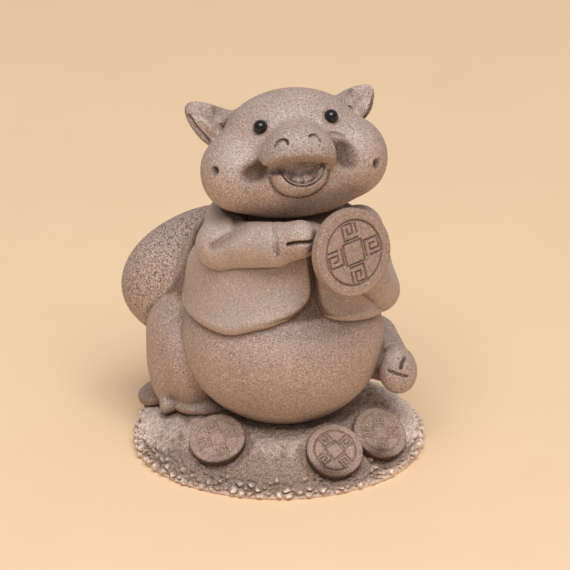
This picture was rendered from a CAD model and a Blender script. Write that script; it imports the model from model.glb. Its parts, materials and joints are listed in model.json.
# %% [markdown]
# # A clay pig on a mound of coins
# The real thing is a tea-table figure about eight centimetres high, pinched and joined out of
# unglazed stoneware: swollen lumps pressed together, a few lines cut with a knife, and two glass
# beads for eyes. In Blender it could be pushed out of a ball with the sculpt brushes, but a script
# can't hold a brush. So each lump is written down as a distance: how far a point is from the skin
# of the clay. Lumps that run into each other are then one sum, and a grid of rays finds the skin.

import json
import math

import bpy
import numpy as np
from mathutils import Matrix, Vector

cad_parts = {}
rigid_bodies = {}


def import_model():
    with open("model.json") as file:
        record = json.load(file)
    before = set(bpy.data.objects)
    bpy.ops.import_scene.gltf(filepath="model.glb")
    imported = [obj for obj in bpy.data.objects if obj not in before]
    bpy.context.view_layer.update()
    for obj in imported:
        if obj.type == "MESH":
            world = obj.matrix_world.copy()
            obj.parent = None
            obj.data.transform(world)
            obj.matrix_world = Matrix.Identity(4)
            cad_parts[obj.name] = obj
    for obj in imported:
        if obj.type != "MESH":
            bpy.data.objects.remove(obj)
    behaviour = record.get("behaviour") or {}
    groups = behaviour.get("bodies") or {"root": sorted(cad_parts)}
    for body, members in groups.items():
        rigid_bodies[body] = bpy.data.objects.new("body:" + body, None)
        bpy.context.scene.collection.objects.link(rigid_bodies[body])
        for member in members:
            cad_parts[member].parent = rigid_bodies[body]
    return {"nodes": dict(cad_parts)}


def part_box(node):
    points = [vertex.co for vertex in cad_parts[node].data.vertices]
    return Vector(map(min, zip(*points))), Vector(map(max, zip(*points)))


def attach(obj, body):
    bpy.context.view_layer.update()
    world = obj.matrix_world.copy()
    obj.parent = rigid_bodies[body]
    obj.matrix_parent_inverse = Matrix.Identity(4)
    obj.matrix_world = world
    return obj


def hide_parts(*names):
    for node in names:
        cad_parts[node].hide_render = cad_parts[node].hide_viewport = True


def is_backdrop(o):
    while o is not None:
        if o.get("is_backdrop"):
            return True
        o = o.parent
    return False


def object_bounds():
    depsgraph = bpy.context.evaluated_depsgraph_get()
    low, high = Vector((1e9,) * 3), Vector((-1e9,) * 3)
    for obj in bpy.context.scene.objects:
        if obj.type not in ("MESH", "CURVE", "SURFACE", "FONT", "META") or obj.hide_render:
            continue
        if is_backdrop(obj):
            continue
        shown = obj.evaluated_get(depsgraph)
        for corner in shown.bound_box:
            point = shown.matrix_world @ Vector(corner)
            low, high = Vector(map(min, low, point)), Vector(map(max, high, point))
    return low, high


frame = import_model()
cad_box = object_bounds()
print("nodes in the frame:", len(frame["nodes"]))

# %% [markdown]
# ## Units and turns
# The model is in metres, but clay is easier to think of in millimetres, so every shape is worked
# out in millimetres and only the finished mesh is brought to metres.

# %% Units and turns
MM = 0.001


def spin(axis, degrees):
    """The matrix that turns points by an angle about the x, y or z axis."""
    c, s = math.cos(math.radians(degrees)), math.sin(math.radians(degrees))
    first, second = [(1, 2), (2, 0), (0, 1)]["xyz".index(axis)]
    turn = np.eye(3)
    turn[first, first] = turn[second, second] = c
    turn[first, second], turn[second, first] = -s, s
    return turn


def turned(x, y, z):
    """Turns about the piece's own x, then its own y, then its own z, as the CAD source does."""
    return spin("x", x) @ spin("y", y) @ spin("z", z)


def at(*values):
    """A point, a set of sizes or a list of points, in millimetres."""
    return np.array(values, float)


def box_middle(node):
    """The middle of a CAD node's box, in millimetres."""
    low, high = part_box(node)
    return (np.array(low) + np.array(high)) / 2 / MM


# %% [markdown]
# ## Camera, floor and light
# The photograph looks down on the figure by about 25 degrees from some distance away, in front of
# a seamless sheet of warm beige paper. A long lens from the same place gives the same flat
# perspective. One large soft lamp above the front makes the pale tops and dark undersides, and
# the paper's own colour fills the rest.

# %% Camera
view_target = at(1.48, -1.3, 37.2)
view_elevation = math.radians(25)
view_distance = 1500
lens_mm = 447.5
sensor_mm = 36

camera_data = bpy.data.cameras.new("camera")
camera_data.lens = lens_mm
camera_data.sensor_width = sensor_mm
camera_data.clip_start = 10 * MM
camera_data.clip_end = 20 * view_distance * MM
camera = bpy.data.objects.new("camera", camera_data)
back_off = at(0, -math.cos(view_elevation), math.sin(view_elevation)) * view_distance
camera.location = (view_target + back_off) * MM
camera.rotation_euler = (math.pi / 2 - view_elevation, 0, 0)
bpy.context.scene.collection.objects.link(camera)
bpy.context.scene.camera = camera
bpy.context.scene.view_settings.view_transform = "Standard"
print("camera at", [round(v, 4) for v in camera.location])

# %% Lamp and world
lamp_sides = at(900, 700)
lamp_elevation = math.radians(66)
lamp_distance = 1100
lamp_aside = 60
lamp_turn = math.radians(3)
lamp_power = 11.0
world_light = 0.39
world_colour = (1.0, 0.97, 0.94, 1)

lamp_data = bpy.data.lights.new("softbox", "AREA")
lamp_data.shape = "RECTANGLE"
lamp_data.size, lamp_data.size_y = lamp_sides * MM
lamp_data.energy = lamp_power
lamp_data.color = (1.0, 0.985, 0.96)
lamp = bpy.data.objects.new("softbox", lamp_data)
lamp_ahead, lamp_up = -lamp_distance * math.cos(lamp_elevation), lamp_distance * math.sin(lamp_elevation)
lamp.location = at(lamp_aside, lamp_ahead, lamp_up) * MM
lamp.rotation_euler = (math.pi / 2 - lamp_elevation, 0, lamp_turn)
bpy.context.scene.collection.objects.link(lamp)

world = bpy.data.worlds.new("studio")
world.use_nodes = True
world.node_tree.nodes["Background"].inputs["Color"].default_value = world_colour
world.node_tree.nodes["Background"].inputs["Strength"].default_value = world_light
bpy.context.scene.world = world
print("lamp power", lamp_power, "world", world_light)

# %% [markdown]
# ## Meshes from arrays
# A surface here is always a grid: rings from one pole to the other, each with the same number of
# points round it. The faces between rings are worked out once for a grid of any size, with a fan
# of triangles closing each pole, so every piece is one watertight skin.

# %% Grid faces and the mesh maker


def closed_faces(rings, spokes):
    """Faces of a skin with a pole at each end: the point numbers of ring i, spoke j are i*spokes+j,
    then come the two poles. Quads join neighbouring rings and triangles close the poles."""
    ring = np.arange(rings - 1)[:, None] * spokes
    spoke = np.arange(spokes)[None, :]
    after = (spoke + 1) % spokes
    quads = np.stack([ring + spoke, ring + spokes + spoke, ring + spokes + after, ring + after], -1)
    first, last = rings * spokes, rings * spokes + 1
    spoke, after = spoke[0], after[0]
    start = np.stack([np.full(spokes, first), spoke, after], -1)
    end = np.stack([np.full(spokes, last), (rings - 1) * spokes + after, (rings - 1) * spokes + spoke], -1)
    return quads.reshape(-1, 4), np.concatenate([start, end])


def mesh_piece(name, points, quads, triangles):
    """A mesh object from points in millimetres. Where the faces turn out to point inwards, which
    the sign of the enclosed volume shows, their corners are taken the other way round."""
    halves = np.concatenate([quads[:, [0, 1, 2]], quads[:, [0, 2, 3]], triangles])
    a, b, c = (points[halves[:, k]] for k in range(3))
    if np.sum(a * np.cross(b, c)) < 0:
        quads, triangles = quads[:, ::-1], triangles[:, ::-1]
    mesh = bpy.data.meshes.new(name + "_skin")
    corners = np.concatenate([quads.ravel(), triangles.ravel()]).astype(np.int32)
    starts = np.concatenate([np.arange(len(quads)) * 4, len(quads) * 4 + np.arange(len(triangles)) * 3])
    mesh.vertices.add(len(points))
    mesh.vertices.foreach_set("co", (points * MM).astype(np.float32).ravel())
    mesh.loops.add(len(corners))
    mesh.loops.foreach_set("vertex_index", corners)
    mesh.polygons.add(len(starts))
    mesh.polygons.foreach_set("loop_start", starts.astype(np.int32))
    mesh.update(calc_edges=True)
    mesh.validate()
    mesh.shade_smooth()
    piece = bpy.data.objects.new(name + "_skin", mesh)
    bpy.context.scene.collection.objects.link(piece)
    return piece


made = {}
finishes = {}


def finish_piece(piece, nodes, slot):
    """Gives a piece its finish, and says which CAD nodes it stands for."""
    piece.data.materials.append(finishes[slot])
    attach(piece, "root")
    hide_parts(*nodes)
    made[piece.name] = len(piece.data.polygons)
    print(piece.name, "stands for", ", ".join(nodes), "with", made[piece.name], "faces")


# %% [markdown]
# ## Lumps of clay as distances
# An egg is a stretched ball and a roll is a tapered sausage. For each, a formula says about how
# far a point is outside its skin, and less than nothing means inside. Two lumps melt into each
# other where both distances are small, over a width that says how well the joint was smoothed.

# %% Eggs, rolls and joints
far_away = 1e9


def egg(p, middle, radii, turn=None):
    """About the distance to an ellipsoid: with a the length of the point counted in radii and b its
    length counted in squared radii, it is a times (a minus one) over b."""
    q = p - middle
    if turn is not None:
        q = q @ turn
    a = np.sqrt(np.sum((q / radii) ** 2, -1))
    b = np.sqrt(np.sum((q / radii**2) ** 2, -1))
    return a * (a - 1) / np.maximum(b, 1 / far_away)


def eggs(*facts):
    """The field of several eggs at once: the least of their distances."""
    return lambda p: np.min([egg(p, *one) for one in facts], axis=0)


def roll(p, start, end, start_radius, end_radius):
    """Distance to the line from start to end, less a radius that changes evenly along it."""
    along = end - start
    share = np.clip((p - start) @ along / (along @ along), 0, 1)
    gap = np.linalg.norm(p - start - share[..., None] * along, axis=-1)
    return gap - start_radius - (end_radius - start_radius) * share


def melt(a, b, width):
    """The smaller of two distances, rounded where they differ by less than the joint's width."""
    near = np.maximum(width - np.abs(a - b), 0) / width
    return np.minimum(a, b) - near * near * width / 4


def carve(clay, hole, width):
    """Clay without a hole: the larger of the clay's distance and the hole's taken backwards."""
    return -melt(-clay, hole, width)


# %% Knife lines


def line_gap(q, points):
    """The squared distance to the line through the points."""
    nearest = np.full(q.shape[:-1], far_away)
    for start, end in zip(at(*points[:-1]), at(*points[1:])):
        along = end - start
        share = np.clip((q - start) @ along / (along @ along), 0, 1)
        nearest = np.minimum(nearest, np.sum((q - start - share[..., None] * along) ** 2, -1))
    return nearest


def cuts(p, lines, ahead_of):
    """How deep some knife lines lie at p, where its y is below a value. Each line has its points in
    x and z, its width and its depth, which fades as a bell with the distance from the line."""
    face = p[..., [0, 2]]
    depths = (depth * np.exp(-line_gap(face, points) / width**2) for points, width, depth in lines)
    return sum(depths) * (p[..., 1] < ahead_of)


# %% [markdown]
# ## Finding the skin
# From a point inside a lump, rays go out in every direction of a globe. A point walks in along
# each ray from far outside, by steps no longer than its distance from the clay, until it is
# inside, and halving the last step then places it on the skin. The globe's pole points at the
# part that needs the finest detail, because the rays lie closest together there.

# %% Globe of rays and the walk
detail = 0.9
most_steps = 400
step_share = 0.7
shortest_step, longest_step = 0.05, 4
halvings = 10
nearly_upright = 0.9


def globe(rings, spokes, pole, crowd=1.0):
    """Unit headings: ring i leans from the pole by 180 degrees times (i/(rings+1)) to the power
    crowd, so that a crowd above one gathers the rings about the pole. The two poles come last."""
    lean = math.pi * (np.arange(1, rings + 1) / (rings + 1)) ** crowd
    angle = 2 * math.pi * np.arange(spokes) / spokes
    pole = at(*pole) / np.linalg.norm(pole)
    side = np.cross(pole, [0, 0, 1] if abs(pole[2]) < nearly_upright else [1, 0, 0])
    side /= np.linalg.norm(side)
    other = np.cross(pole, side)
    ring = np.cos(angle)[None, :, None] * side + np.sin(angle)[None, :, None] * other
    headings = np.sin(lean)[:, None, None] * ring + np.cos(lean)[:, None, None] * pole
    return np.concatenate([headings.reshape(-1, 3), [pole, -pole]])


def walk_in(origins, headings, field, reach):
    """How far out each ray leaves the clay: it walks in from the reach by the step share of the
    field's value, within the shortest and longest step, then the last step is halved some times."""
    outside = np.full(len(headings), float(reach))
    inside = outside.copy()
    live = np.arange(len(headings))
    for _ in range(most_steps):
        spots = (origins[live] if origins.ndim == 2 else origins) + headings[live] * inside[live, None]
        value = field(spots)
        still = value > 0
        outside[live[still]] = inside[live[still]]
        live, value = live[still], value[still]
        if not len(live):
            break
        step = np.clip(value * step_share, shortest_step, longest_step)
        inside[live] = np.maximum(inside[live] - step, 0)
        live = live[inside[live] > 0]
    for _ in range(halvings):
        middle = (inside + outside) / 2
        hit = field(origins + headings * middle[:, None]) <= 0
        inside, outside = np.where(hit, middle, inside), np.where(hit, outside, middle)
    return (inside + outside) / 2


def wrapped(name, origin, field, reach, rings, spokes, pole=(0, -1, 0), crowd=1.0, place=None):
    """A closed skin round a lump: where the globe's rays leave the clay. The place is a middle and
    a turn, for a lump that is worked out in its own upright position."""
    rings, spokes = int(rings * detail), int(spokes * detail)
    headings = globe(rings, spokes, pole, crowd)
    points = at(*origin) + headings * walk_in(at(*origin), headings, field, reach)[:, None]
    if place is not None:
        points = points @ place[1].T + place[0]
    return mesh_piece(name, points, *closed_faces(rings, spokes))


def uphill(field, p, step=0.02):
    """The outward direction at points near a skin: the field's change over a small step each way."""
    shifts = np.eye(3) * step
    slope = np.stack([field(p + shift) - field(p - shift) for shift in shifts], -1)
    return slope / np.linalg.norm(slope, axis=-1)[:, None]


# %% [markdown]
# ## Pieces of one group
# The thigh, the belly and the foot are separate pieces, but on the real figure their skins run
# into each other. So each piece follows the skin of the whole group where its own lump is the
# nearest, and beyond the joint it dives under its neighbour, where nobody sees it.

# %% One piece of a melted group
dive_rate = 0.25
most_swell = 2.2


def group_skin(lumps, joints, name, holes=()):
    """The field of one piece of a group. The whole is all lumps melted in turn, less the holes; with
    t how much nearer the nearest neighbour is than the piece, the piece lies at the whole plus the
    dive rate times t squared, and nowhere more than the most swell outside its own lump."""

    def field(p):
        values = {key: lump(p) for key, lump in lumps.items()}
        whole = None
        for key, value in values.items():
            whole = value if whole is None else melt(whole, value, joints[key])
        for hole, width in holes:
            whole = carve(whole, hole(p), width)
        nearest = np.min([value for key, value in values.items() if key != name], axis=0)
        under = np.maximum(values[name] - nearest, 0)
        return np.maximum(whole + dive_rate * under**2, values[name] - most_swell)

    return field


# %% [markdown]
# ## Noise
# Hand-worked clay is never quite even. A random number for each cell of a lattice, faded
# smoothly from cell to cell, gives soft dents; the distance to one random point in each cell
# gives pebbles. The numbers come from the cell's own address, so each run gives the same clay.

# %% Soft noise and pebbles
address_primes = 73856093, 19349663, 83492791
salt_prime = 2654435
mixing_primes = 1274126177, 668265263
low_bits, number_bits = 0xFFFFFFFF, 0xFFFF


def fade(t):
    """From 0 to 1 without a corner at either end: 3t^2-2t^3."""
    return t * t * (3 - 2 * t)


def ramp(value, start, length):
    """From 0 at the start to 1 after the length, which may be negative, and level beyond."""
    return np.clip((value - start) / length, 0, 1)


def cell_number(cell, salt):
    """A repeatable number from 0 to 1 for each whole-numbered cell: its address is mixed by
    multiplying with large primes and folding the high bits over the low ones."""
    x, y, z = (cell[..., k] * address_primes[k] for k in range(3))
    h = x ^ y ^ z ^ salt * salt_prime
    h = (h ^ (h >> 13)) * mixing_primes[0] & low_bits
    h = (h ^ (h >> 16)) * mixing_primes[1] & low_bits
    return ((h ^ (h >> 15)) & number_bits) / number_bits


def dents(p, size, salt=0):
    """Soft noise from -1 to 1: the numbers at a cell's eight corners, faded from one to the next."""
    q = p / size
    cell = np.floor(q).astype(np.int64)
    t = fade(q - cell)
    total = 0
    for corner in np.ndindex(2, 2, 2):
        weight = np.prod(np.where(corner, t, 1 - t), axis=-1)
        total = total + weight * cell_number(cell + np.array(corner), salt)
    return total * 2 - 1


def pebbles(p, size, salt=0):
    """Distances, in cell sizes, to the nearest and second nearest of one random point per cell."""
    q = p / size
    cell = np.floor(q).astype(np.int64)
    best = np.full(len(p), far_away)
    second = best.copy()
    for corner in np.ndindex(3, 3, 3):
        other = cell + np.array(corner) - 1
        point = other + np.stack([cell_number(other, salt + k) for k in range(3)], -1)
        gap = np.linalg.norm(q - point, axis=-1)
        second = np.minimum(second, np.maximum(best, gap))
        best = np.minimum(best, gap)
    return best, second


# %% How uneven each piece is
# The depth of the dents, their size and the number that makes them the piece's own.
unevenness = {
    "trunk": (0.12, 9, 1),
    "thigh": (0.1, 6, 2),
    "skull": (0.1, 7, 3),
    "sleeve": (0.1, 6, 4),
    "cloth": (0.1, 7, 5),
    "sack": (0.15, 8, 6),
    "mound, fine": (0.1, 0.45, 62),
    "mound, broad": (0.12, 2.2, 63),
}


def uneven(p, name):
    """The dents of a piece, as a change of its distance."""
    depth, size, salt = unevenness[name]
    return depth * dents(p, size, salt)


# %% [markdown]
# ## Finishes
# Everything but the eyes is one clay: unglazed iron-bearing stoneware, the kind that tea-ware is
# made of. It is ground with sand, so a fired skin shows pale and dark grains a few tenths of a
# millimetre across, a slow change of tone where fingers smoothed it, and a dull sheen. What
# differs from piece to piece is how far the grain was smoothed down.

# %% Colours and the node helper


def shade(hex_colour):
    """A linear colour from an sRGB hex value: each channel c over 12.92 below 0.04045, and
    ((c+0.055)/1.055) to the power 2.4 above."""
    c = np.array([int(hex_colour[k : k + 2], 16) for k in (1, 3, 5)]) / 255
    c = np.where(c <= 0.04045, c / 12.92, ((c + 0.055) / 1.055) ** 2.4)
    return (*c, 1)


def add(tree, kind, settings=None, links=None):
    """Adds a node: settings go to its properties or its inputs by name, links join its inputs, by
    name or number, to other nodes' outputs."""
    made_node = tree.nodes.new(kind)
    for key, value in (settings or {}).items():
        if isinstance(key, str) and hasattr(made_node, key):
            setattr(made_node, key, value)
        else:
            made_node.inputs[key].default_value = value
    for key, output in (links or {}).items():
        tree.links.new(output, made_node.inputs[key])
    return made_node


def blank(name):
    """A new material with its tree, its shader and Object coordinates."""
    material = bpy.data.materials.new(name)
    material.use_nodes = True
    tree = material.node_tree
    place = add(tree, "ShaderNodeTexCoord").outputs["Object"]
    return material, tree, tree.nodes["Principled BSDF"], place


def noise(tree, place, size_mm, detail, roughness=0.5):
    """Noise with waves of about the size."""
    settings = {"Scale": 1 / (size_mm * MM), "Detail": detail, "Roughness": roughness}
    return add(tree, "ShaderNodeTexNoise", settings, {"Vector": place}).outputs[0]


def spread(tree, value, low, high, to_low, to_high):
    """The range from low to high, stretched to another range."""
    settings = {"From Min": low, "From Max": high, "To Min": to_low, "To Max": to_high}
    return add(tree, "ShaderNodeMapRange", settings, {"Value": value}).outputs[0]


def maths(tree, operation, a, b):
    """One sum of two values."""
    return add(tree, "ShaderNodeMath", {"operation": operation}, {0: a, 1: b}).outputs[0]


def scattered(tree, place, size_mm, share):
    """Grains: one in the middle of those few cells whose own random number is below the share."""
    settings = {"Scale": 1 / (size_mm * MM), "Randomness": 1.0}
    cells = add(tree, "ShaderNodeTexVoronoi", settings, {"Vector": place})
    number = add(tree, "ShaderNodeSeparateColor", {}, {0: cells.outputs["Color"]}).outputs[0]
    pick = add(tree, "ShaderNodeMath", {"operation": "LESS_THAN", 1: share}, {0: number}).outputs[0]
    near = spread(tree, cells.outputs["Distance"], grain_edge, grain_edge / 2, 0, 1)
    return maths(tree, "MULTIPLY", pick, near)


# %% Unglazed stoneware
# Waves are a size in mm, the detail and the roughness; a tone is the range of the noise that is
# used and the range of brightness that it is stretched to.
slow_waves, fine_waves, grain_waves = (9, 3), (0.9, 4, 0.65), (2, 0.7)
slow_tone, fine_tone = (0.32, 0.68, 0.93, 1.06), (0.3, 0.7, 0.88, 1.1)
grain_low, grain_high = 0.3, 0.7
grain_edge = 0.26
pit_shift = (0.3, 0.7, 0.2)
sand_share, pit_share = 0.1, 0.14
sand_spacing, pit_spacing = 2.1, 1.7
darkest_grain, palest_grain = 0.42, 0.4
stain_tint = (0.24, 0.19, 0.16)
stained_sheen = 0.1


def stoneware(slot, name, body, pale, dark, grit_mm, rough, relief_mm, specks, seed, sheen, gloss):
    """Unglazed stoneware: the body's colour times a slow and a fine change of tone and the grain's
    own. Pale and dark grains lie in it, the stain of the creases tints it and takes its sheen, and
    a bump of the same grains catches the light."""
    material, tree, skin, place = blank(name)
    tone = spread(tree, noise(tree, place, *slow_waves), *slow_tone)
    mottle = spread(tree, noise(tree, place, *fine_waves), *fine_tone)
    grain = noise(tree, place, grit_mm, *grain_waves)
    contrast = specks**0.5
    darkest, palest = 1 - darkest_grain * contrast, 1 + palest_grain * contrast
    speckle = spread(tree, grain, grain_low, grain_high, darkest, palest)
    level = maths(tree, "MULTIPLY", maths(tree, "MULTIPLY", tone, mottle), speckle)
    clay = add(tree, "ShaderNodeVectorMath", {"operation": "SCALE", 0: shade(body)[:3]}, {"Scale": level})
    shift = (pit_shift[0] + seed, *pit_shift[1:])
    moved = add(tree, "ShaderNodeVectorMath", {1: shift}, {0: place}).outputs[0]
    bright = scattered(tree, place, grit_mm * sand_spacing, sand_share * specks)
    sunk = scattered(tree, moved, grit_mm * pit_spacing, pit_share * specks)
    mix = {"data_type": "RGBA"}
    colour = add(tree, "ShaderNodeMix", {**mix, 7: shade(dark)}, {0: sunk, 6: clay.outputs[0]}).outputs[2]
    colour = add(tree, "ShaderNodeMix", {**mix, 7: shade(pale)}, {0: bright, 6: colour}).outputs[2]
    crease = add(tree, "ShaderNodeAttribute", {"attribute_name": "crease"}).outputs["Fac"]
    tint = {"operation": "MULTIPLY", 1: stain_tint}
    stained = add(tree, "ShaderNodeVectorMath", tint, {0: colour}).outputs[0]
    colour = add(tree, "ShaderNodeMix", mix, {0: crease, 6: colour, 7: stained}).outputs[2]
    tree.links.new(colour, skin.inputs["Base Color"])
    tree.links.new(spread(tree, crease, 0, 1, sheen, stained_sheen), skin.inputs["Specular IOR Level"])
    height = maths(tree, "ADD", maths(tree, "SUBTRACT", grain, sunk), bright)
    bump = add(tree, "ShaderNodeBump", {"Strength": 1.0, "Distance": relief_mm * MM}, {"Height": height})
    tree.links.new(bump.outputs[0], skin.inputs["Normal"])
    skin.inputs["Roughness"].default_value = rough
    skin.inputs["IOR"].default_value = gloss
    finishes[slot] = material
    print(name, "grit", grit_mm, "mm")


# Skin and head: fingers have pressed the sand down, which leaves a soft even sheen on the swellings.
stoneware("stoneware_body", "stoneware, smoothed by hand", "#A98F83", "#F2E0D0", "#4F3B33",
          grit_mm=0.34, rough=0.64, relief_mm=0.09, specks=2.1, seed=0.0, sheen=1.0, gloss=1.7)
# Cloth: rubbed with a spoon, it is the palest and catches the widest light.
stoneware("stoneware_cloth", "stoneware, burnished", "#AB9286", "#F2E0D0", "#5F4A40",
          grit_mm=0.32, rough=0.68, relief_mm=0.05, specks=1.1, seed=0.1, sheen=1.0, gloss=1.85)
# Sack: left coarse, so that dark pits and pale grains read as woven stuff.
stoneware("stoneware_sack", "stoneware, open grain", "#AE9487", "#F6E4D4", "#3E2E28",
          grit_mm=0.44, rough=0.66, relief_mm=0.3, specks=4.2, seed=0.2, sheen=1.0, gloss=1.6)
# Coins: the mould leaves them darker, duller and close-grained.
stoneware("stoneware_coin", "stoneware, pressed in a mould", "#A08679", "#E8D2C0", "#4A3830",
          grit_mm=0.3, rough=0.66, relief_mm=0.05, specks=1.2, seed=0.3, sheen=0.6, gloss=1.5)
# Mound: pale where the rim is rubbed, and stained dark on top, where washing leaves its dirt.
stoneware("stoneware_mound", "stoneware, pricked rough", "#EAD4C7", "#F4E2D4", "#3D2E28",
          grit_mm=0.34, rough=0.7, relief_mm=0.08, specks=1.7, seed=0.4, sheen=0.7, gloss=1.5)

# %% Black glass for the eyes
# Its small sharp highlight is what makes the pig look at you.
glass, _, glass_skin, _ = blank("black glass, fire-polished")
glass_skin.inputs["Base Color"].default_value = shade("#0A0908")
glass_skin.inputs["Roughness"].default_value = 0.08
glass_skin.inputs["IOR"].default_value = 1.52
finishes["black_glass"] = glass

# %% Paper floor
# Matt paper gives back no highlight, only a warm even fill from below.
floor_reach = 6000
paper_waves_mm = 30
paper, tree, paper_skin, place = blank("matt backdrop paper")
paper_shades = {"data_type": "RGBA", 6: shade("#EACBA8"), 7: shade("#EFD1AF")}
paper_tone = add(tree, "ShaderNodeMix", paper_shades, {0: noise(tree, place, paper_waves_mm, 4)})
tree.links.new(paper_tone.outputs[2], paper_skin.inputs["Base Color"])
paper_skin.inputs["Roughness"].default_value = 0.95
paper_skin.inputs["Specular IOR Level"].default_value = 0.1
floor_mesh = bpy.data.meshes.new("floor")
corners = at((-1, -1, 0), (1, -1, 0), (1, 1, 0), (-1, 1, 0)) * floor_reach * MM
floor_mesh.from_pydata(corners.tolist(), [], [(0, 1, 2, 3)])
floor_mesh.materials.append(paper)
floor = bpy.data.objects.new("floor", floor_mesh)
bpy.context.scene.collection.objects.link(floor)
floor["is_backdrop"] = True
print("floor reaches", floor_reach, "mm each way")

# %% [markdown]
# ## Belly, chest and legs
# The body is two swollen lumps, a wide belly and a narrower chest, smoothed until no joint is
# left. The thighs and feet were pressed on afterwards, so a soft crease still shows between them.
# Here and below, an egg's facts are its middle, half sizes and turn, and a roll's are its two ends
# and their radii.

# %% Facts of the body group
belly = at(1, -2, 26), at(21.5, 20.5, 18.7)
chest = at(1.6, -1, 42.5), at(19, 14.5, 15.5)
waist_joint = 6
outer_thigh = at(-22, 4, 19), at(6.1, 8, 13)
front_thigh = at(-18.9, -1.2, 18.4), at(5.6, 6.3, 9.6), turned(0, -14, 0)
flank = at(-20.1, 4.6, 26.9), at(-14.5, 3.5, 46), 6.2, 4.2
flank_joint, thigh_joint = 5, 1.6
far_thigh = at(19.5, 6, 19.5), at(24.2, -1.4, 18.8), 7, 4.4
hoof = at(-15.4, -0.8, 9.7), at(7.4, 5.6, 3)
side_toe = at(-23.7, -0.8, 9.3), at(1.6, 3, 2.4)
toe_joint = 0.3
sole_middle, sole_halves, sole_turn = at(25.3, -6.1, 19.7), at(4.3, 3.2, 5.2), turned(-20, -12, 20)
sole_cuts = [
    ([(-0.3, 0.3), (0.2, 1.3), (1.3, 2.2)], 0.32, 0.9),
    ([(-2.8, 0.4), (-1.4, -0.6), (0, -1.3), (0.8, -1.7)], 0.3, 0.6),
]

# %% Lumps of the body group


def trunk(p):
    """Belly and chest in one."""
    return melt(egg(p, *belly), egg(p, *chest), waist_joint) + uneven(p, "trunk")


def thigh_right(p):
    """An outer thigh with a second, smaller swelling in front, and the fold of flank above them."""
    outer = melt(egg(p, *outer_thigh), roll(p, *flank), flank_joint)
    return melt(outer, egg(p, *front_thigh), thigh_joint) + uneven(p, "thigh")


def thigh_left(p):
    """The far thigh, seen only as a bulge behind the raised foot."""
    return roll(p, *far_thigh)


def hooves_right(p):
    """The flattened hoof and the little side toe beneath the thigh."""
    return melt(egg(p, *hoof), egg(p, *side_toe), toe_joint)


def hoof_left(p):
    """The raised foot: an egg with two knife cuts across its sole."""
    local = (p - sole_middle) @ sole_turn
    return egg(p, sole_middle, sole_halves, sole_turn) + cuts(local, sole_cuts, 0)


body_lumps = {
    "body": trunk,
    "leg_right": thigh_right,
    "leg_left": thigh_left,
    "foot_right": hooves_right,
    "foot_left": hoof_left,
}
body_joints = {"body": 1, "leg_right": 0.7, "leg_left": 1.0, "foot_right": 0.5, "foot_left": 0.8}

# %% Wrap the body group
# Where the rays start, how far they reach, rings, spokes and the CAD nodes.
body_pieces = {
    "body": ((1.3, -1.5, 32), 60, 260, 320, ["belly_front_shell", "back_shell"]),
    "leg_right": ((-20, 3, 22), 45, 220, 240, ["leg_right"]),
    "leg_left": ((22, 2.5, 19), 30, 110, 140, ["leg_left"]),
    "foot_right": ((-17, -0.8, 9.7), 25, 120, 160, ["foot_right"]),
    "foot_left": (sole_middle, 20, 140, 180, ["foot_left"]),
}
for name, (origin, reach, rings, spokes, nodes) in body_pieces.items():
    piece = wrapped(name, origin, group_skin(body_lumps, body_joints, name), reach, rings, spokes)
    finish_piece(piece, nodes, "stoneware_body")

# %% [markdown]
# ## Head
# The head was made apart and set on the chest, thrown back a little and turned to one side. It is
# worked out upright and facing front, and only then turned: a domed forehead over a wide jowl, two
# round cheeks, a flat-lipped snout like a bill, a lower lip pressed in as a ring, and two ears.

# %% Facts of the head
head_middle = at(3.2, -3.03, 65.6)
head_turn = spin("z", 5) @ spin("x", -22) @ spin("y", -6)
head_place = (head_middle, head_turn)
dome = at(0.37, 1.5, 6.5), at(14.3, 12.3, 9.9)
jowl = at(0, 0, 0), at(18.5, 12, 11.1)
cheek_halves = at(6.7, 7.8, 7.8)
cheek_middles = at((-13, -3, 0.55), (13, -3, 0.55))
dome_joint, cheek_joint, mouth_joint = 3, 2.5, 0.3
chin = at(0.15, -10.2, -1.5), at(6.3, 5.2, 4.9)
mouth_hollow = at(0.85, -14.6, -0.3), at(4.1, 5.2, 3.1)
mouth_gap = at(0.4, -13.4, 0.4), at(8.6, 4.0, 1.3), spin("y", -3)
right_corner = at(-9.0, -11.8, 0.1), at(2.6, 2.6, 1.9), spin("y", -15)
left_corner = at(10.0, -11.7, 1.6), at(1.8, 2.8, 3.8), spin("y", -18)
right_dimple = at(-16.9, -8.6, 1.6), at(0.85, 1.3, 0.85)
left_dimple = at(16.6, -9.0, -1.6), at(0.85, 1.3, 1.0)

mouth = eggs(mouth_hollow, mouth_gap)
head_holes = [(eggs(right_corner, left_corner), 1.6), (eggs(right_dimple, left_dimple), 0.3)]

# %% Skull, snout and lower lip
bill_middle = at(0.5, -8.6, 3.4)
bill_halves = at(8.7, 8.7, 6.4)
bill_narrowing = 0.055
bill_low, bill_high = -2, 8
bill_mean_half = 6.2
lip_height, lip_tilt, lip_bow, lip_slope, lip_front = 2.35, 0.07, 0.008, 0.42, -16.6
lip_steepness = 0.9
lip_joint = 0.25


def skull(p):
    """Forehead, jowl and both cheeks, with the mouth pressed into them."""
    clay = melt(egg(p, *dome), egg(p, *jowl), dome_joint)
    for middle in cheek_middles:
        clay = melt(clay, egg(p, middle, cheek_halves), cheek_joint)
    return carve(clay + uneven(p, "skull"), mouth(p), mouth_joint)


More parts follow.
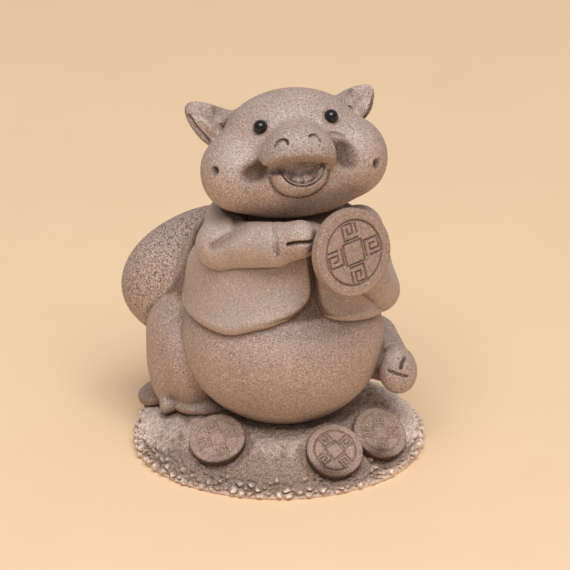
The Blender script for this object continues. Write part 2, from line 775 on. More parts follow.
def snout(p):
    """A bill: a ball with its sides pressed flat, narrowing upwards, so that a share a of its size
    is the root of (|x|^3 + |y|^3)^(2/3) + z^2 counted in half sizes. The underside is pared away by
    a slope that falls towards the throat and a little towards the left corner of the mouth."""
    q = p - bill_middle
    x, y, z = np.moveaxis(np.abs(q) / bill_halves, -1, 0)
    x = x / (1 - bill_narrowing * np.clip(q[..., 2], bill_low, bill_high))
    clay = (np.sqrt((x**3 + y**3) ** (2 / 3) + z**2) - 1) * bill_mean_half
    across, deep, up = np.moveaxis(p, -1, 0)
    lip = lip_height - lip_tilt * across - lip_bow * across**2 - lip_slope * (deep - lip_front)
    return carve(clay, (up - lip) * lip_steepness, lip_joint)


def lower_lip(p):
    """A round chin with the mouth pressed into it."""
    return carve(egg(p, *chin), mouth(p), mouth_joint)


# %% Ears
# Seen from the front, in x and z; the lobe is a place, a length, a width and a tilt.
ear_facts = {
    "ear_right": {
        "corners": [
            (-7, 11.6), (-10.6, 13.6), (-17.8, 16.9), (-21, 16.2), (-21.4, 13.6), (-17.2, 6), (-13, 4.5),
        ],
        "depth": 5.0,
        "fold": [(-18.9, 15.0), (-16.3, 13.9), (-13.8, 11.6), (-12.2, 9.2)],
        "lobe": (-16.3, 10.4, 3.4, 1.35, 55),
        "trim": [(-20.0, 13.4), (-18.9, 10.9), (-16.6, 7.6)],
    },
    "ear_left": {
        "corners": [
            (9.6, 12.4), (13.4, 14.7), (17.8, 15.3), (20.1, 14.7), (20.3, 12.4), (16.0, 6.0), (13, 5.0),
        ],
        "depth": 5.6,
        "fold": [(18.8, 13.5), (16.2, 13.1), (13.8, 11.4), (12.4, 9.4)],
        "lobe": (16.8, 9.4, 3.0, 1.3, -50),
        "trim": [(19.2, 12.0), (17.8, 9.3), (15.8, 7.0)],
    },
}
ear_half, ear_corner, ear_rounding = 2.3, 2.6, 1.8
fold_cut, trim_cut = (1.15, 2.6), (0.3, 0.6)
lobe_ahead, lobe_half, lobe_joint = 0.6, 2.3, 0.5


def ear(corners, depth, fold, lobe, trim):
    """A leaf standing across the head. Its outline is the corners' hull, the largest distance beyond
    any side, rounded together with the leaf's own thickness; a deep fold runs under the upper rim,
    a swollen lobe fills the cup and a thin line marks off the lower rim."""
    sides = list(zip(corners, corners[1:] + corners[:1]))
    middle = np.mean(corners, axis=0)

    def field(p):
        outline = None
        for start, end in sides:
            out = at(end[1] - start[1], start[0] - end[0])
            out = out / np.linalg.norm(out)
            out = out if out @ (at(*start) - middle) > 0 else -out
            beyond = (p[..., [0, 2]] - at(*start)) @ out
            outline = beyond if outline is None else -melt(-outline, -beyond, ear_corner)
        slab = np.abs(p[..., 1] - depth) - ear_half
        across, up, length, width, tilt = lobe
        lobe_halves = at(length, lobe_half, width)
        bulge = egg(p, at(across, depth - lobe_ahead, up), lobe_halves, spin("y", tilt))
        leaf = -melt(-outline, -slab, ear_rounding) + cuts(p, [(fold, *fold_cut)], depth)
        return melt(leaf, bulge, lobe_joint) + cuts(p, [(trim, *trim_cut)], depth)

    return field


# %% Marks cut and pressed into the face


def smile(x, z, half_width, half_height, count):
    """The lower half of an oval, as points on the face."""
    turn = np.linspace(math.pi, 2 * math.pi, count)
    return np.stack([x + half_width * np.cos(turn), z + half_height * np.sin(turn)], -1)


# Both nostrils, the crease beside the bill, the inner line of the lip and the outer ring.
face_front = -5
face_cuts = [
    ([(-4.5, 5.2), (-3.9, 5.9), (-3.2, 6.3), (-2.4, 6.4), (-1.8, 6.0), (-1.8, 5.4)], 0.2, 0.6),
    ([(3.0, 6.3), (3.7, 6.5), (4.4, 6.3), (5.0, 5.7), (5.1, 5.0)], 0.2, 0.6),
    ([(7.9, 6.0), (9.1, 5.9), (10.2, 5.2)], 0.3, 0.35),
    (smile(0.85, -0.2, 4.5, 3.7, 24), 0.22, 0.45),
    (smile(0.15, -1.4, 6.1, 4.75, 32), 0.25, 0.35),
]
head_lumps = {
    "head": skull,
    "ear_right": ear(**ear_facts["ear_right"]),
    "ear_left": ear(**ear_facts["ear_left"]),
    "snout": snout,
    "lower_jaw": lower_lip,
}
head_joints = {"head": 1, "ear_right": 1.6, "ear_left": 1.6, "snout": 1.4, "lower_jaw": 0.45}

# %% Wrap the head group
# As before, with the globe's pole and how its rings crowd there.
head_pieces = {
    "head": ((0, 0, 3), 40, 260, 360, (0, -14.5, -4), 1.25, ["face_shell", "skull_shell"]),
    "ear_right": ((-15.2, 5.2, 11.0), 20, 170, 240, (0, -1, 0), 1.0, ["ear_right"]),
    "ear_left": ((15.2, 5.8, 10.6), 20, 170, 240, (0, -1, 0), 1.0, ["ear_left"]),
    "snout": ((0, -9.5, 3.2), 20, 220, 300, (0, -1, 0.2), 1.1, ["snout"]),
    "lower_jaw": ((0, -7.2, -4.6), 20, 220, 260, (0, -1, 0.35), 1.3, ["lower_jaw"]),
}
for name, (origin, reach, rings, spokes, pole, crowd, nodes) in head_pieces.items():
    plain = group_skin(head_lumps, head_joints, name, head_holes)
    field = lambda p: plain(p) + cuts(p, face_cuts, face_front)
    piece = wrapped(name, origin, field, reach, rings, spokes, pole, crowd, head_place)
    finish_piece(piece, nodes, "stoneware_body")

# %% Tongue and eye beads
tongue = at(0.3, -12.3, -2.9), at(2.9, 2.6, 1.7)
tongue_groove = [([(0.3, -1.0), (0.3, -3.4)], 0.35, 0.45)]
bead_radius = 1.5
bead_drop = 0.45

field = lambda p: egg(p, *tongue) + cuts(p, tongue_groove, 0)
piece = wrapped("tongue", tongue[0], field, reach=8, rings=90, spokes=120, place=head_place)
finish_piece(piece, ["tongue"], "stoneware_body")

beads = []
for name in ("eye_bead_right", "eye_bead_left"):
    bead = box_middle(name) - at(0, 0, bead_drop)
    beads.append(bead)
    field = eggs((bead, at(1, 1, 1) * bead_radius))
    piece = wrapped(name, bead, field, reach=4, rings=40, spokes=60)
    finish_piece(piece, [name], "black_glass")

# %% [markdown]
# ## Arms
# Each arm is a thick roll bent at the elbow. The sleeve ends in a cut line, and the hoof beyond
# it is split by one knife stroke. The right arm lies across the chest and steadies the coin; the
# left one comes down to its elbow and up again behind the coin.

# %% Facts of the arms
# Shoulder, elbow, wrist and tip, and the radii of upper arm, elbow, cuff and both ends of the hoof.
arm_points = {
    "right": at((-9.5, -2, 52.2), (-11.6, -10, 50.6), (-0.4, -17.5, 54.1), (4.6, -19.5, 56.2)),
    "left": at((17, -3, 51), (20.8, -4, 37.5), (20, -8.5, 41.8), (17.8, -14, 47.1)),
}
arm_radii = {"right": (6, 5.2, 4.7, 4.3, 4.0), "left": (5.2, 4.5, 4.2, 4, 4)}
elbow_joint = 2
arm_joints = {"sleeve_right": 1, "hand_right": 0.6, "sleeve_left": 1, "hand_left": 0.6}
arm_front = -8
# Two cuts of the cuff, a fold of the sleeve and the slit of the hoof.
arm_cuts = [
    ([(-0.9, 58.9), (-0.5, 57.5), (-0.2, 56.2), (0, 54.8), (0, 53.4)], 0.26, 0.9),
    ([(-1.1, 57.2), (-1.0, 55.6), (-0.7, 54.2)], 0.2, 0.5),
    ([(-13.7, 52.2), (-11, 54.2), (-8, 56.6), (-5.3, 58.6)], 0.8, 0.55),
    ([(2.2, 56.4), (3.4, 56.9), (4.7, 57.1), (6.0, 57.0), (6.9, 56.8)], 0.32, 1.2),
]


def sleeve(side, dented):
    """The field of a sleeve: upper arm and forearm, melted at the elbow."""
    shoulder, elbow, wrist, _ = arm_points[side]
    first, second, third, _, _ = arm_radii[side]

    def field(p):
        upper, lower = roll(p, shoulder, elbow, first, second), roll(p, elbow, wrist, second, third)
        bent = melt(upper, lower, elbow_joint)
        return bent + uneven(p, "sleeve") if dented else bent

    return field


def hand(side):
    """The field of a hoof: a roll from the wrist to the tip."""
    return lambda p: roll(p, *arm_points[side][2:], *arm_radii[side][3:])


# %% Wrap the arms
arm_pieces = {
    "sleeve_right": ((-8.5, -9.5, 51.5), 30, 200, 240),
    "hand_right": ((2, -18.5, 55.1), 20, 160, 200),
    "sleeve_left": ((19.6, -4.5, 42), 30, 160, 200),
    "hand_left": ((18.9, -11.3, 44.5), 20, 110, 140),
}
arm_lumps = {
    "right": {"sleeve_right": sleeve("right", True), "hand_right": hand("right")},
    "left": {"sleeve_left": sleeve("left", False), "hand_left": hand("left")},
}
for side, lumps in arm_lumps.items():
    for name in lumps:
        origin, reach, rings, spokes = arm_pieces[name]
        plain = group_skin(lumps, arm_joints, name)
        field = (lambda p: plain(p) + cuts(p, arm_cuts, arm_front)) if side == "right" else plain
        piece = wrapped(name, origin, field, reach, rings, spokes)
        finish_piece(piece, [name], "stoneware_cloth" if name.startswith("sleeve") else "stoneware_body")

# %% [markdown]
# ## Waistcoat
# The waistcoat is a thin slab of clay laid round the body, with rounded edges, open in front. Each
# panel is a closed sheet: its outline is drawn as angles round the body and heights, the sheet is
# laid on the skin of the body, and its thickness swells from the edge inwards.

# %% Panel outlines
panel_outlines = {
    "waistcoat_right_front": [
        (-83, 33.4), (-71, 33.1), (-54, 33), (-40, 33), (-32, 33.4), (-24.8, 34.2), (-17.6, 35),
        (-10.2, 35.7), (-2.7, 36.6), (4.2, 37.4), (11.4, 38.6), (17.8, 40.2), (21, 41.6), (22.5, 43.6),
        (22.4, 46), (22, 50), (20, 54), (0, 55), (-30, 55), (-60, 52), (-80, 49), (-88, 45), (-92, 40),
        (-93.5, 36.5), (-90, 34.2),
    ],
    "waistcoat_left_front": [
        (25, 49), (24.5, 45), (24.2, 42), (25, 39.8), (28, 37.6), (33.2, 36.4), (42.1, 35.3), (54, 34.3),
        (69.9, 33), (82, 32.6), (89, 33), (92.5, 35), (93, 41), (92, 47), (85, 50), (60, 53), (40, 55),
        (27, 55), (25.3, 52),
    ],
    "waistcoat_back": [
        (98, 34.2), (130, 33.5), (180, 33.5), (230, 33.5), (261, 34.2), (264.5, 37), (265, 41), (263, 47),
        (255, 50), (220, 53), (180, 55), (140, 53), (105, 50), (97, 47), (95, 41), (95.5, 37),
    ],
}
panel_middles = {
    "waistcoat_right_front": (-38, 43.5),
    "waistcoat_left_front": (57, 43.5),
    "waistcoat_back": (180, 44),
}
body_axis = at(1.3, -1.5)
round_body = 20.0
cloth_thickness = 1.9
cloth_edge = 1.7
cloth_crown, crown_reach = 0.35, 7
cloth_sink = 0.5
panel_spokes, panel_rings, first_ring = 480, 90, 0.01
laying_reach = 40
ring_crowding = 1.6
inner_shares = (1, 0.97, 0.85, 0.6, 0.3, 0.05)

# %% Panels


def smooth_loop(points, count):
    """A closed curve through the points: between two of them, the Catmull-Rom blend of the four
    nearest, sampled evenly."""
    knots = at(*points)
    t = np.arange(count) / count * len(knots)
    k = np.floor(t).astype(int)
    t = (t - k)[:, None]
    a, b, c, d = (knots[(k + shift) % len(knots)] for shift in (-1, 0, 1, 2))
    return 0.5 * (2 * b + (c - a) * t + (2 * a - 5 * b + 4 * c - d) * t**2 + (3 * b - a - 3 * c + d) * t**3)


def panel(name):
    """A closed sheet: rings shrink from the outline to the middle on the outer face, a rounded edge
    turns down to the body, and the rings run back to the middle on the inner face."""
    rim = smooth_loop(panel_outlines[name], panel_spokes)
    middle = at(*panel_middles[name])
    reach = np.linalg.norm((rim - middle) * at(math.radians(round_body), 1), axis=1)
    outer_shares = 1 - (1 - np.linspace(first_ring, 1, panel_rings)) ** ring_crowding
    shares = np.concatenate([outer_shares, inner_shares])
    flat = (middle + (rim - middle)[None] * shares[:, None, None]).reshape(-1, 2)
    inset = (1 - shares)[:, None] * reach[None]
    bulge = np.sqrt(np.maximum(1 - (1 - ramp(inset, 0, cloth_edge)) ** 2, 0))
    height = cloth_thickness * bulge + cloth_crown * ramp(inset, 0, crown_reach)
    height[panel_rings:] = -cloth_sink
    flat = np.concatenate([flat, [middle, middle]])
    height = np.concatenate([height.ravel(), [cloth_thickness + cloth_crown, -cloth_sink]])
    turn = np.radians(flat[:, 0])
    headings = np.stack([np.sin(turn), -np.cos(turn), 0 * turn], -1)
    axis = np.concatenate([0 * flat + body_axis, flat[:, 1:]], -1)
    skin = axis + headings * walk_in(axis, headings, trunk, laying_reach)[:, None]
    out = uphill(trunk, skin)
    points = skin + out * height[:, None]
    points = points + out * (uneven(points, "cloth") * (height > 0))[:, None]
    return mesh_piece(name, points, *closed_faces(len(shares), panel_spokes))


for name in panel_outlines:
    finish_piece(panel(name), [name], "stoneware_cloth")

# %% [markdown]
# ## Sack and tail
# A full sack leans on the pig's back. Its mouth is gathered, tied and flared, and only shows from
# behind: a profile carried round the throat, whose radius swells into pleats away from the tie.
# The tail is a thin roll with one curl, a round section carried along its path.

# %% Sack
sack_middle = at(-13, 13, 33.5)
sack_halves = at(20.8, 13, 14.7)
sack_turn = spin("y", -15)
throat_middle = sack_middle + sack_turn @ at(14.98, 3.9, 6.17)
throat_turn = sack_turn @ turned(-20, 40, 0)
neck = throat_middle - throat_turn @ at(0, 0, 4), throat_middle + throat_turn @ at(0, 0, 1), 4.6, 3
neck_joint = 3


def sack_skin(p):
    """A full bag, drawn in a little towards its throat."""
    bag = egg(p, sack_middle, sack_halves, sack_turn)
    return melt(bag, roll(p, *neck), neck_joint) + uneven(p, "sack")


piece = wrapped("sack", sack_middle, sack_skin, reach=45, rings=240, spokes=300, pole=(-1, 0, 0))
finish_piece(piece, ["sack"], "stoneware_sack")

# %% Gathered mouth of the sack
# Heights along the throat and radii, from the pole inside the neck to the pole inside the flare.
gathered = [(-3, 0), (-3, 4.2), (-1, 3.5), (1.2, 2.9), (2.4, 2.5), (2.7, 3.0), (3.3, 3.3), (3.9, 3.0),
            (4.2, 2.4), (5.4, 2.9), (6.8, 3.7), (7.9, 4.3), (8.1, 4.1), (7.4, 3.3), (6.3, 2.2), (5.6, 0)]
pleats, pleat_share = 11, 0.13
tie_height, tie_half, pleat_growth = 3.3, 0.5, 3
mouth_rings, mouth_spokes = 120, 220


def resampled(profile, count):
    """The profile's points spread evenly along its length."""
    profile = at(*profile)
    length = np.concatenate([[0], np.cumsum(np.linalg.norm(np.diff(profile, axis=0), axis=1))])
    spots = np.linspace(0, length[-1], count)
    return np.stack([np.interp(spots, length, profile[:, k]) for k in range(2)], -1)


def pleated(name, profile, spokes):
    """The profile carried round the throat. Its radius grows by the pleat share times the cosine of
    the pleats' angle, more the farther a height is from the tie."""
    angle = 2 * math.pi * np.arange(spokes) / spokes
    up, radius = profile[1:-1, :1], profile[1:-1, 1:]
    swell = pleat_share * ramp(np.abs(up - tie_height), tie_half, pleat_growth)
    radius = radius * (1 + swell * np.cos(pleats * angle))
    points = np.stack([radius * np.cos(angle), radius * np.sin(angle), up + 0 * radius], -1).reshape(-1, 3)
    points = np.concatenate([points, [[0, 0, profile[0, 0]], [0, 0, profile[-1, 0]]]])
    return mesh_piece(name, points @ throat_turn.T + throat_middle, *closed_faces(len(profile) - 2, spokes))


piece = pleated("sack_mouth", resampled(gathered, mouth_rings), mouth_spokes)
finish_piece(piece, ["sack_mouth"], "stoneware_sack")

# %% Tail
tail_root, tail_bend = at(8.1, 12.8, 16), at(9.6, 18.1, 17.4)
curl_radius, curl_drift = 2.6, 0.25
curl_degrees, curl_rings, straight_rings = 290, 90, 20
curl_turn = np.radians(np.linspace(0, curl_degrees, curl_rings))
circle = np.stack([0 * curl_turn, np.sin(curl_turn), 1 - np.cos(curl_turn)], -1) * curl_radius
curl = tail_bend + circle - curl_turn[:, None] * at(curl_drift, 0, 0)
straight = tail_root + np.linspace(0, 1, straight_rings)[:, None] * (tail_bend - tail_root)
tail_path = np.concatenate([straight[:-1], curl])
tail_shares, radii_there = (0, 0.25, 0.9, 1), (1.9, 1.3, 0.85, 0.6)
tail_radii = np.interp(np.linspace(0, 1, len(tail_path)), tail_shares, radii_there)
tip_rings, tail_spokes = 7, 48


def tube(name, path, radii, spokes, side):
    """A round section carried along a path, its ring set square to the path by the side vector;
    the last rings shrink as a half ball closes."""
    heading = np.gradient(path, axis=0)
    heading /= np.linalg.norm(heading, axis=1)[:, None]
    across = side - (heading @ side)[:, None] * heading
    across /= np.linalg.norm(across, axis=1)[:, None]
    other = np.cross(heading, across)
    close = np.linspace(0, 1, tip_rings + 2)[1:-1] * math.pi / 2
    tip = path[-1] + heading[-1] * radii[-1] * np.sin(close)[:, None]
    path = np.concatenate([path, tip])
    radii = np.concatenate([radii, radii[-1] * np.cos(close)])
    across, other = (np.concatenate([v, np.repeat(v[-1:], tip_rings, 0)]) for v in (across, other))
    turn = 2 * math.pi * np.arange(spokes) / spokes
    ring = np.cos(turn)[None, :, None] * across[:, None] + np.sin(turn)[None, :, None] * other[:, None]
    points = (path[:, None] + ring * radii[:, None, None]).reshape(-1, 3)
    ends = [path[0], path[-1] + heading[-1] * radii[-1]]
    return mesh_piece(name, np.concatenate([points, ends]), *closed_faces(len(path), spokes))


piece = tube("tail", tail_path, tail_radii, tail_spokes, at(1, 0, 0))
finish_piece(piece, ["tail"], "stoneware_body")

# %% [markdown]
# ## Coins
# The coins were pressed in a mould: a flat disc with a ring and a square cut into its face, and
# four marks between them. The marks here are square frets, a plain old border ornament. A disc is
# a wheel-shaped grid whose height is lowered wherever a cut passes.

# %% Coin relief
# A fret's strokes are shares of its half size, and the rest are shares of the coin's radius.
fret_strokes = [
    [(-1, -1), (-1, 1), (1, 1), (1, -0.4), (-0.3, -0.4), (-0.3, 0.35), (0.4, 0.35)],
    [(-0.4, -1), (1, -1)],
]
ring_share, square_share, fret_fill = 0.74, 0.25, 0.74
ring_points = 73


def coin_strokes(radius):
    """All the cuts on a coin's face: the ring, the square and four frets, each a quarter turn on."""
    turn = np.linspace(0, 2 * math.pi, ring_points)
    ring = radius * ring_share * np.stack([np.cos(turn), np.sin(turn)], -1)
    square = radius * square_share * at((-1, -1), (1, -1), (1, 1), (-1, 1), (-1, -1))
    middle = at(radius * (ring_share + square_share) / 2, 0)
    half = radius * (ring_share - square_share) * fret_fill / 2
    quarters = [spin("z", 90 * k)[:2, :2] for k in range(4)]
    frets = [(middle + half * at(*stroke)) @ quarter.T for quarter in quarters for stroke in fret_strokes]
    return [ring], [square], frets


# %% Coin
coin_edge = 0.45
rings_per_mm, first_share = 11, 0.004
edge_rings, wall_rings, underside_skip = 7, 6, 8
coin_spokes, large_spokes, large_radius = 260, 360, 8
coin_wobble, wobble_size = 0.012, 0.7
wear_sizes, wear_fine_share = (1.1, 0.5), 0.7


def coin(name, middle, turn, radius, thickness, depths, width, wear, salt):
    """A disc: rings over the face, round the edge and back under, where most are skipped. The
    face is lowered by its cuts and worn by two sizes of dents."""
    spokes = large_spokes if radius > large_radius else coin_spokes
    face = np.linspace(first_share, 1, int(radius * rings_per_mm)) * (radius - coin_edge)
    bend = np.linspace(0, math.pi / 2, edge_rings + 1)[1:]
    half = thickness / 2
    far = np.concatenate([face, radius - coin_edge + coin_edge * np.sin(bend)])
    up = np.concatenate([0 * face + half, half - coin_edge * (1 - np.cos(bend))])
    wall = np.linspace(half - coin_edge, coin_edge - half, wall_rings + 2)[1:-1]
    far = np.concatenate([far, 0 * wall + radius, far[::-underside_skip]])
    up = np.concatenate([up, wall, -up[::-underside_skip]])
    angle = 2 * math.pi * np.arange(spokes) / spokes
    spokes_out = np.stack([np.cos(angle), np.sin(angle)], -1)
    flat = (far[:, None, None] * spokes_out).reshape(-1, 2)
    up = np.repeat(up, spokes)
    on_face = np.repeat(np.arange(len(far)) < len(face), spokes)
    cut = 0
    for depth, strokes in zip(depths, coin_strokes(radius)):
        nearest = np.min([line_gap(flat, stroke) for stroke in strokes], axis=0)
        cut = cut + depth * np.exp(-nearest / width**2)
    spots = np.concatenate([flat, up[:, None]], -1)
    rough = dents(spots, wear_sizes[0], salt) + wear_fine_share * dents(spots, wear_sizes[1], salt + 1)
    up = up - np.where(on_face, cut, 0) + np.where(up > coin_edge - half, wear * rough, 0)
    rim = np.concatenate([np.tile(spokes_out, (len(far), 1)), 0 * flat[:, :1]], -1)
    swell = 1 + coin_wobble * dents(rim, wobble_size, salt)
    points = np.concatenate([flat * swell[:, None], up[:, None]], -1)
    points = np.concatenate([points, [[0, 0, half], [0, 0, -half]]])
    return mesh_piece(name, points @ turn.T + middle, *closed_faces(len(far), spokes))


# %% Press the coins
held_middle, held_turn = at(15.2, -19.85, 53.4), spin("z", 35) @ spin("x", 76) @ spin("z", 5)
held_radius, held_thickness, held_depths = 9.3, 2.6, (0.4, 0.4, 0.42)
held_width, held_wear, held_salt = 0.2, 0.03, 20
held_sizes = held_radius, held_thickness, held_depths, held_width, held_wear
piece = coin("held_coin", held_middle, held_turn, *held_sizes, held_salt)
finish_piece(piece, ["held_coin"], "stoneware_coin")

# Each coin's middle and turn, and how deep its ring, square and frets still are.
strewn = {
    "coin_front_right": (at(-12.77, -16.1, 7.86), turned(33, -8, 20), (0.16, 0.2, 0.22)),
    "coin_front_middle": (at(11.92, -19.36, 6.73), turned(41.8, 8.2, 42), (0.28, 0.3, 0.3)),
    "coin_front_left": (at(21.43, -10.97, 6.72), turned(36.5, 21.1, 10), (0.16, 0.2, 0.22)),
    "coin_back_right": (at(-24.3, 10.4, 6.9), turned(-3, -18, 0), (0.1, 0.12, 0.14)),
}
strewn_radius, strewn_thickness, strewn_width, strewn_wear = 6.0, 2.0, 0.17, 0.09
first_salt, next_salt = 30, 5
for number, (name, (middle, turn, depths)) in enumerate(strewn.items()):
    sizes = strewn_radius, strewn_thickness, depths, strewn_width, strewn_wear
    piece = coin(name, middle, turn, *sizes, first_salt + number * next_salt)
    finish_piece(piece, [name], "stoneware_coin")

# %% [markdown]
# ## Mound
# The mound is a swollen oval, pricked and stippled with a tool: a fine grain on top, knobbly
# pebbles round the rim, and a thin smooth foot where it was cut from the board. Its grid spreads
# out from the vent hole underneath, which lets the steam out of the hollow belly in the kiln.

# %% Facts of the mound
mound_halves = at(31, 29, 8.5)
mound_rise = 1.5
mound_egg = at(0, 0, mound_rise), mound_halves
mound_spokes, top_rings, skirt_rings = 620, 112, 8
rim_wobble, rim_wobble_size, rim_salt = 0.008, 2, 50
first_lean = 0.02
shoulder_power, shoulder_spread = 3.3, 1.3
seat_drop, seat_reach, seat_fade, rim_fade = 1.0, 8.6, 3.4, 0.1
pebble_size, pebble_height, pebble_bed, most_stone, pebble_salt = 1.6, 2.4, 0.7, 0.5, 60
band_top, band_fade, band_foot, band_foot_fade = 5.2, 2, 0.3, 0.6
worm_size, worm_level, worm_depth, worm_fade, worm_salt = 1.3, 0.5, 0.42, 0.6, 64
prick_size, prick_share, prick_salt = 0.8, 0.8, 65
smooth_foot, clean_foot = 0.6, 0.8
hollow_rate, hollow_bed, hollow_free, most_hollow = 0.55, 0.5, 0.1, 0.34
vent_middle = at(6.45, 5.1, 0)
vent_radius, vent_depth = 2.4, 4.5
vent_heights = at(0.3, 1.5, 4, vent_depth)
vent_closing = at(0.5, 0.5, 1)
underside_shares = at(0.25, 0.6, 0.9, 1)
crown_share = 0.97

# %% Top of the mound


def mound_top(flat, away):
    """The height over a plan point: an ellipsoid behind, in front a shoulder that falls off as the
    share out to the rim to the shoulder power, and round each strewn coin the plane of its seat."""
    dome_top = np.sqrt(np.maximum(1 - away**2, 0))
    ahead = fade(np.clip(-shoulder_spread * flat[..., 1] / np.linalg.norm(flat, axis=-1), 0, 1))
    top = mound_rise + mound_halves[2] * (dome_top * (1 - ahead) + (1 - away**shoulder_power) * ahead)
    for middle, turn, _ in strewn.values():
        up = turn[:, 2]
        seat = middle - up * seat_drop
        plane = seat[2] - ((flat - seat[:2]) @ up[:2]) / up[2]
        near = fade(ramp(np.linalg.norm(flat - middle[:2], axis=-1), seat_reach, -seat_fade))
        top = top + (plane - top) * near * ramp(away, 1, -rim_fade)
    return top


def pricked(p):
    """How far the skin stands out and how dark it is stained: worms and pricks are ridges left
    between two noises, and the rim's band adds pebbles, high in their middles."""
    nearest, second = pebbles(p, pebble_size, pebble_salt)
    stones = np.clip(second - nearest, 0, most_stone) * pebble_height
    height = p[:, 2]
    band = ramp(height, band_top, -band_fade) * ramp(height, band_foot, band_foot_fade)
    worms = worm_level - np.abs(dents(p, worm_size, worm_salt))
    worms = worms - prick_share * np.abs(dents(p, prick_size, prick_salt))
    dented = uneven(p, "mound, fine") + uneven(p, "mound, broad")
    grain = dented + worm_depth * worms * (1 - worm_fade * band)
    rough = grain * ramp(height, 0, smooth_foot) + band * (stones - pebble_bed)
    stained = -hollow_rate * (grain + band * (stones - hollow_bed)) - hollow_free
    return rough, np.clip(stained, 0, most_hollow) * ramp(height, 0, clean_foot)


# %% Wrap the mound


def mound(name):
    """Rings spread from the vent's axis to the oval rim over the top, down to the foot, back under
    to the vent's edge and up its wall. The top is roughened along the ellipsoid's normal."""
    angle = 2 * math.pi * np.arange(mound_spokes) / mound_spokes
    circle = np.stack([np.cos(angle), np.sin(angle), 0 * angle], -1)
    wobble = 1 + rim_wobble * dents(circle * rim_wobble_size, 1, rim_salt)
    rim = mound_halves[:2] * circle[:, :2] * wobble[:, None]
    shares = np.sin(np.linspace(first_lean, math.pi / 2, top_rings))
    flat = vent_middle[:2] + (rim - vent_middle[:2])[None] * shares[:, None, None]
    away = np.linalg.norm(flat / mound_halves[:2] / wobble[None, :, None], axis=-1)
    top = np.concatenate([flat, mound_top(flat, away)[..., None]], -1)
    skirt = np.linspace(mound_rise, 0, skirt_rings + 1)[1:, None, None]
    tuck = np.sqrt(1 - ((mound_rise - skirt) / mound_halves[2]) ** 2)
    sides = np.concatenate([rim[None] * tuck, skirt + 0 * rim[None, :, :1]], -1)
    upper = np.concatenate([top, sides]).reshape(-1, 3)
    normal = (upper - mound_egg[0]) / mound_halves**2
    normal /= np.linalg.norm(normal, axis=1)[:, None]
    rough, stained = pricked(upper)
    upper = upper + normal * rough[:, None]
    upper[:, 2] = np.maximum(upper[:, 2], 0)
    foot = upper[-mound_spokes:]
    foot[:, 2] = 0
    hole = circle * vent_radius + vent_middle
    below = foot[None] + (hole - foot)[None] * underside_shares[:, None, None]
    wall = hole[None] + at(0, 0, 1) * vent_heights[:, None, None]
    wall[-1] = vent_middle + (wall[-1] - vent_middle) * vent_closing
    lower = np.concatenate([below, wall])
    crown = at(*vent_middle[:2], mound_rise + mound_halves[2] * crown_share)
    poles = [crown, vent_middle + at(0, 0, vent_depth)]
    points = np.concatenate([upper, lower.reshape(-1, 3), poles])
    stained = np.concatenate([stained, np.zeros(len(points) - len(upper))])
    rings = top_rings + skirt_rings + len(lower)
    return mesh_piece(name, points, *closed_faces(rings, mound_spokes)), stained


piece, mound_stain = mound("base_mound")
finish_piece(piece, ["base_mound"], "stoneware_mound")

# %% [markdown]
# ## Stain in the creases
# Rubbing and washing leave a dark stain wherever a finger can't reach: in knife cuts, under the
# hem, round the coins. How far a spot lies in a crease shows when a probe is held off the skin
# there: if other clay is nearer to its tip than the probe is long, the spot lies in a hollow.

# %% All the clay, for the probes
coin_places = {"held_coin": (held_middle, held_turn, held_radius, held_thickness / 2)}
for name, (middle, turn, _) in strewn.items():
    coin_places[name] = (middle, turn, strewn_radius, strewn_thickness / 2)
cloth_low = 37.5
hem_points = 120
clay_lumps = [eggs(belly, chest, mound_egg), thigh_right, thigh_left, hooves_right, hoof_left, sack_skin]
for lumps in arm_lumps.values():
    clay_lumps += lumps.values()


def disc(p, middle, turn, radius, half):
    """The distance to a coin: that of a flat can."""
    q = (p - middle) @ turn
    beyond = np.stack([np.hypot(q[..., 0], q[..., 1]) - radius, np.abs(q[..., 2]) - half], -1)
    return np.linalg.norm(np.maximum(beyond, 0), axis=-1) + np.minimum(beyond.max(-1), 0)


def all_clay(p):
    """The distance to the nearest of all the lumps, the coins, the beads and the cloth."""
    q = (p - head_middle) @ head_turn
    least = np.maximum(trunk(p) - cloth_thickness, cloth_low - p[..., 2])
    for lump in clay_lumps:
        least = np.minimum(least, lump(p))
    for lump in head_lumps.values():
        least = np.minimum(least, lump(q))
    for place in coin_places.values():
        least = np.minimum(least, disc(p, *place))
    for bead in beads:
        least = np.minimum(least, np.linalg.norm(p - bead, axis=-1) - bead_radius)
    return least


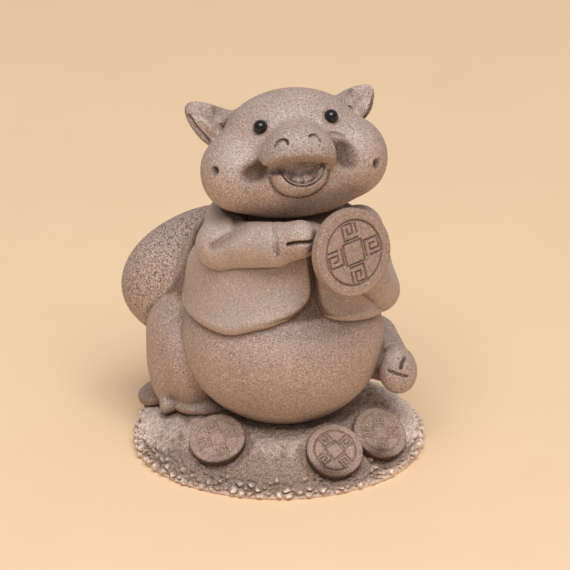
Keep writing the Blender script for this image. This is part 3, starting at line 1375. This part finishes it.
def hem_distance(p):
    """The distance along the body's skin to the nearest panel's outline."""
    turn = np.degrees(np.arctan2(p[:, 0] - body_axis[0], body_axis[1] - p[:, 1]))
    nearest = np.full(len(p), far_away)
    for outline in panel_outlines.values():
        rim = smooth_loop(outline, hem_points)
        for shift in (-360, 0):
            round_way = (turn[:, None] - rim[None, :, 0] - shift) * math.radians(round_body)
            nearest = np.minimum(nearest, (round_way**2 + (p[:, 2:] - rim[None, :, 1]) ** 2).min(1))
    return np.sqrt(nearest)


def in_parts(worked_out, spots, most):
    """A long array worked out a part at a time, to spare memory."""
    return np.concatenate([worked_out(part) for part in np.array_split(spots, max(1, len(spots) // most))])


# %% Crease of each point
short_probe, short_share = 1.0, 0.9
long_probe, long_share, belly_share = 4.0, 0.2, 0.5
free_enough = 0.06
tongue_stain = 0.35
top_stain, top_start, top_length = 0.48, 4.0, 3.4
hem_stain, hem_width = 0.7, 0.9
most_stain = 0.85
probe_part, hem_part = 40000, 20000


def stain(piece):
    """Writes the crease of each point of a piece: one less the probe's free share, for a short and
    a long probe, and what the tongue, the mound's top and the skin beside the hem get besides."""
    mesh = piece.data
    spots, normals = np.empty((2, len(mesh.vertices) * 3), np.float32)
    mesh.vertices.foreach_get("co", spots)
    mesh.vertex_normals.foreach_get("vector", normals)
    spots, normals = spots.reshape(-1, 3) / MM, normals.reshape(-1, 3)
    crease = 0
    far_share = belly_share if piece.name.startswith("body") else long_share
    for length, share in ((short_probe, short_share), (long_probe, far_share)):
        free = in_parts(all_clay, spots + normals * length, probe_part) / length
        crease = np.maximum(crease, share * np.clip(1.0 - free - free_enough, 0, 1))
    if piece.name.startswith("base_mound"):
        crease = crease + mound_stain + top_stain * ramp(spots[:, 2], top_start, top_length)
    if piece.name.startswith("tongue"):
        crease = crease + tongue_stain
    if piece.name.startswith(("body", "leg_right")):
        hem = in_parts(hem_distance, spots, hem_part)
        crease = np.maximum(crease, hem_stain * np.exp(-((hem / hem_width) ** 2)))
    layer = mesh.attributes.new("crease", "FLOAT", "POINT")
    layer.data.foreach_set("value", np.clip(crease, 0, most_stain).astype(np.float32))
    print(piece.name, "mean crease", round(float(crease.mean()), 3))


for piece in bpy.data.objects:
    if piece.name in made and not piece.name.startswith("eye"):
        stain(piece)

# %% Sizes and the last line
new_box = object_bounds()
sizes = {"cad": [list(map(float, c)) for c in cad_box], "visual": [list(map(float, c)) for c in new_box]}
print("pieces", len(made), "faces", sum(made.values()))
